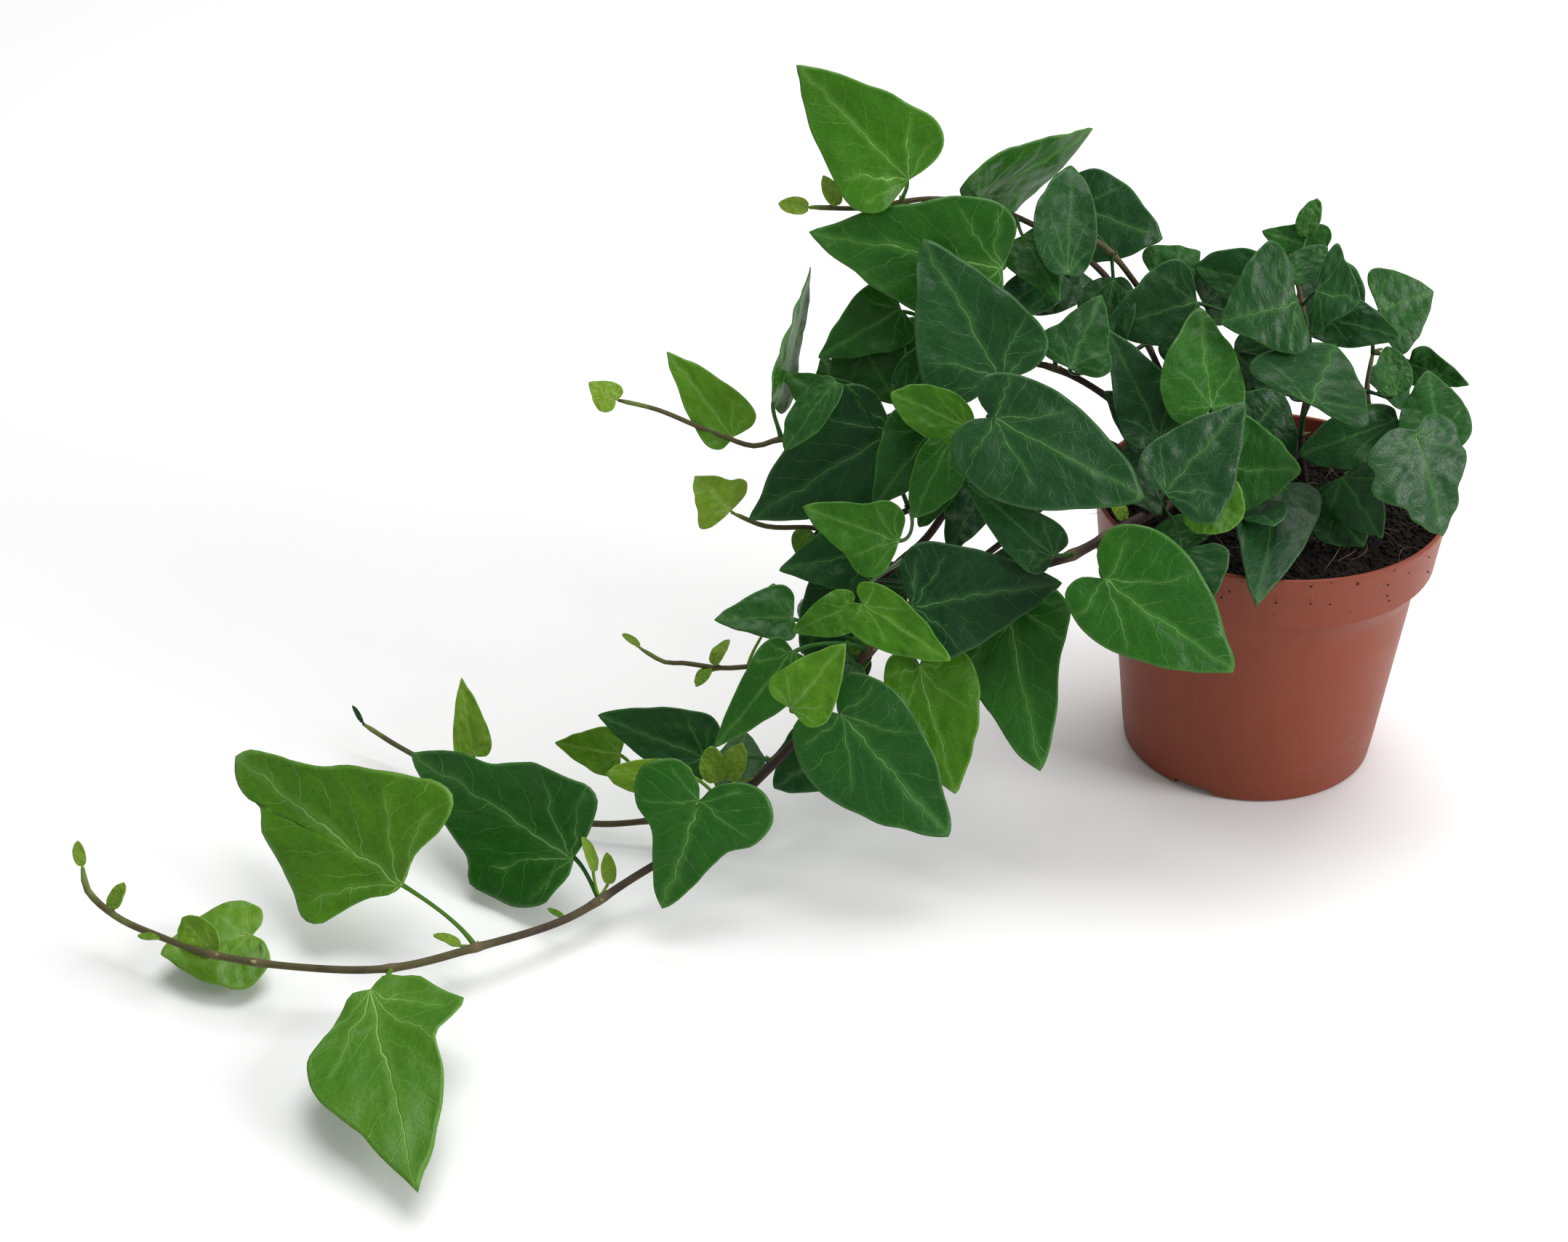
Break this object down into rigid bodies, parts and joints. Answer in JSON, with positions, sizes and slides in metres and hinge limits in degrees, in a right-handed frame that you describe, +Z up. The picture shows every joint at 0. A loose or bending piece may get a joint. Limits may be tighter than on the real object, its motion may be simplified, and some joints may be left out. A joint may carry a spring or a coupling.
{
  "type": "potted ivy plant",
  "caption": "Potted trailing ivy: round nursery pot with rim band and potting soil, arching stems that trail along the surface, and pointed lobed leaves.",
  "frame": {"origin": "middle of the pot's underside, on the pot's axis and on the surface that it stands on", "axes": "+Z up, -Y to the front, the stems trail towards -X, so +X is the right-hand side seen from the front"},
  "size_m": [0.4536, 0.306, 0.2344],
  "materials": {
    "pot": "satin terracotta-coloured plastic",
    "soil": "crumbly dark potting mix",
    "stem": "matte brown-green bark",
    "leaf_old": "waxy dark green leaf",
    "leaf_grown": "waxy green leaf",
    "leaf_young": "satin bright green leaf"
  },
  "bodies": {
    "root": {"pot": "pot", "soil": "soil", "long_trailer": "stem", "ground_trailer": "stem", "lower_shoot": "stem", "middle_shoot": "stem", "upper_shoot": "stem", "crown_shoot": "stem", "arching_stem": "stem", "right_stem": "stem", "back_stem": "stem", "front_stem": "stem", "top_bright": "leaf_young", "top_edge": "leaf_grown", "dark_oval": "leaf_old", "grey_back": "leaf_old", "mid_large": "leaf_grown", "big_dark": "leaf_old", "big_heart": "leaf_old", "edge_thin": "leaf_grown", "under_tri": "leaf_grown", "dark_triangle": "leaf_old", "bright_lobed": "leaf_grown", "grey_green": "leaf_grown", "dark_narrow": "leaf_old", "large_dark": "leaf_old", "large_green": "leaf_grown", "big_bright": "leaf_grown", "small_heart": "leaf_young", "back_point": "leaf_old", "back_round": "leaf_old", "folded_left": "leaf_grown", "mid_green": "leaf_grown", "lime_arrow": "leaf_young", "big_dark_heart": "leaf_grown", "backlit": "leaf_young", "dark_grey": "leaf_old", "dark_winged": "leaf_grown", "large_ground_dark": "leaf_grown", "large_ground_bright": "leaf_young", "lime_round": "leaf_young", "bottom_leaf": "leaf_young", "r_dark_left": "leaf_old", "r_grazing": "leaf_old", "r_sheen": "leaf_old", "r_dark_mid": "leaf_old", "r_upright": "leaf_old", "r_right_top": "leaf_grown", "r_bright_oval": "leaf_grown", "r_sheen_left": "leaf_old", "r_mid_left": "leaf_old", "r_grey_wide": "leaf_old", "r_dark_cross": "leaf_old", "r_mid_tip": "leaf_grown", "r_hanging": "leaf_old", "r_twisted": "leaf_old", "r_dark_back": "leaf_old", "r_over_rim": "leaf_old", "r_over_back": "leaf_grown", "r_rim_left": "leaf_old"}
  },
  "joints": []
}
